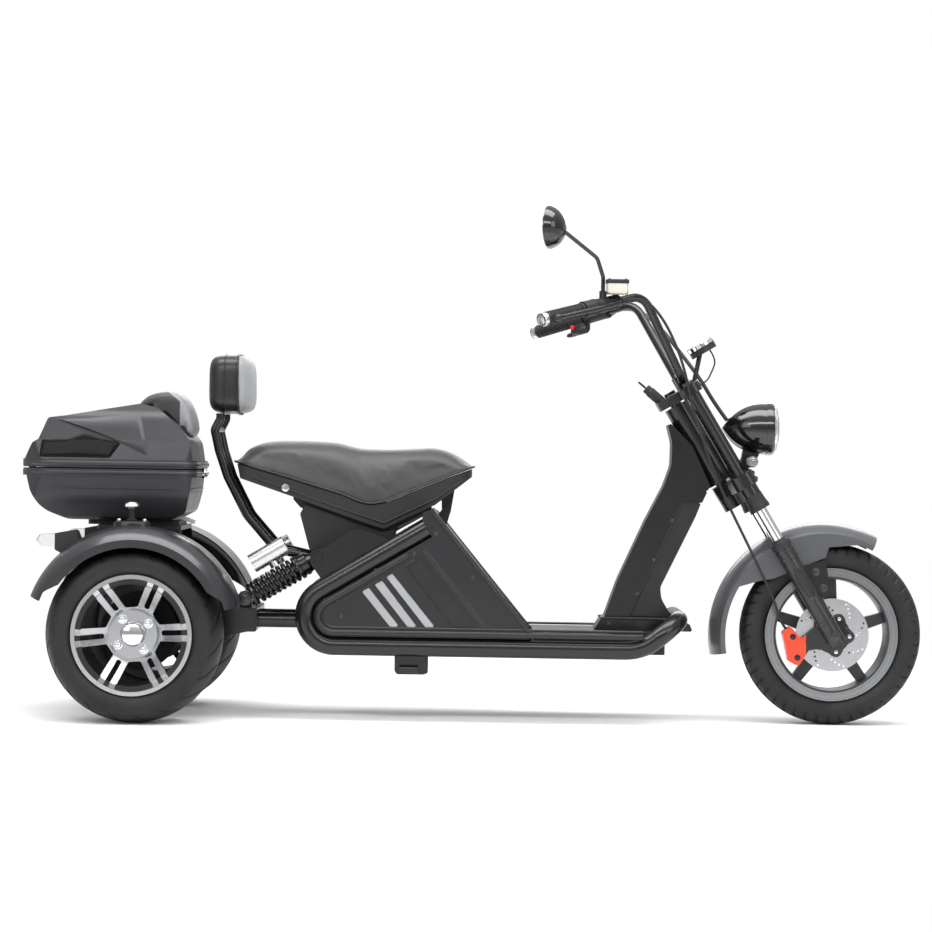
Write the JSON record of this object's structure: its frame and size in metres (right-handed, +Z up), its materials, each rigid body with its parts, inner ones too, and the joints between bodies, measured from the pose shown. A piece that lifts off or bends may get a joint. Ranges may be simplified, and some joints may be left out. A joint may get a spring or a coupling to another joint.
{
  "type": "electric trike scooter",
  "caption": "Electric cruiser trike scooter with a wide rear axle, padded seat, passenger backrest and a lockable top case.",
  "frame": {"origin": "on the floor, half way along and half way across the vehicle", "axes": "+X forward, +Y to the rider's left, +Z up"},
  "size_m": [2.266, 0.823, 1.28],
  "materials": {
    "black_frame": "gloss",
    "grey_paint": "satin",
    "black_plastic": "matte",
    "body_plastic": "gloss",
    "machined_alloy": "machined",
    "dark_alloy": "satin",
    "bright_steel": "polished",
    "chrome_trim": "mirror",
    "black_rubber": "matte",
    "tyre_rubber": "matte",
    "black_leather": "satin",
    "pale_leather": "satin",
    "case_plastic": "satin",
    "clear_lens": "clear",
    "mirror_silver": "mirror",
    "orange_caliper": "gloss"
  },
  "bodies": {
    "chassis": {"backrest_hoop": "black_frame", "backrest_pad": "pale_leather", "backrest_shell": "black_plastic", "battery_pack": "black_plastic", "case_fittings": "bright_steel", "case_tub": "case_plastic", "column_cover": "black_plastic", "fender_caps": "chrome_trim", "floor_board": "black_plastic", "frame_gussets": "black_frame", "frame_rails": "black_frame", "front_cover": "body_plastic", "panel_slats": "machined_alloy", "rear_axle": "black_frame", "rear_carrier": "black_frame", "rear_fenders": "grey_paint", "shock_absorbers": "black_frame", "shock_bottles": "machined_alloy", "side_panels": "body_plastic", "stand_bracket": "black_frame", "steering_column": "black_frame", "tail_lamps": "black_plastic", "tail_lenses": "clear_lens", "under_seat_tray": "black_plastic"},
    "steering": {"bar_controls": "black_plastic", "brake_caliper": "orange_caliper", "brake_levers": "bright_steel", "control_lines": "black_rubber", "fork_legs": "dark_alloy", "fork_stanchions": "bright_steel", "fork_tubes": "black_frame", "front_axle": "bright_steel", "front_fender": "grey_paint", "grips": "black_rubber", "handlebar": "black_frame", "headlamp_bracket": "black_frame", "headlamp_lens": "clear_lens", "headlamp_shell": "body_plastic", "lower_yoke": "black_frame", "mirror_glass": "mirror_silver", "mirror_head": "body_plastic", "speedometer": "black_plastic", "upper_yoke": "black_frame"},
    "front_wheel": {"front_tyre": "tyre_rubber", "front_rim": "dark_alloy", "brake_disc": "bright_steel"},
    "rear_wheel_left": {"rear_tyre_left": "tyre_rubber", "rear_rim_left": "machined_alloy", "rear_hub_left": "dark_alloy"},
    "rear_wheel_right": {"rear_tyre_right": "tyre_rubber", "rear_rim_right": "machined_alloy", "rear_hub_right": "dark_alloy"},
    "seat": {"seat_pan": "black_plastic", "seat_cushion": "black_leather"},
    "case_lid": {"case_lid": "case_plastic", "lid_pad": "black_leather"}
  },
  "joints": [
    {"name": "steering_turn", "type": "hinge", "parent": "chassis", "child": "steering", "pos_m": [0.56585, 0, 0.70247], "axis": [-0.515, 0, 0.8572], "range_deg": [-40, 40]},
    {"name": "front_wheel_spin", "type": "hinge", "parent": "steering", "child": "front_wheel", "pos_m": [0.904, 0, 0.229], "axis": [0, 1, 0], "continuous": true},
    {"name": "rear_wheel_left_spin", "type": "hinge", "parent": "chassis", "child": "rear_wheel_left", "pos_m": [-0.829, 0.2925, 0.217], "axis": [0, 1, 0], "continuous": true},
    {"name": "rear_wheel_right_spin", "type": "hinge", "parent": "chassis", "child": "rear_wheel_right", "pos_m": [-0.829, -0.2925, 0.217], "axis": [0, 1, 0], "continuous": true},
    {"name": "seat_tilt", "type": "hinge", "parent": "chassis", "child": "seat", "pos_m": [-0.074, 0, 0.524], "axis": [0, 1, 0], "range_deg": [0, 60]},
    {"name": "case_lid_swing", "type": "hinge", "parent": "chassis", "child": "case_lid", "pos_m": [-1.1265, 0, 0.6195], "axis": [0, -1, 0], "range_deg": [0, 75]}
  ]
}
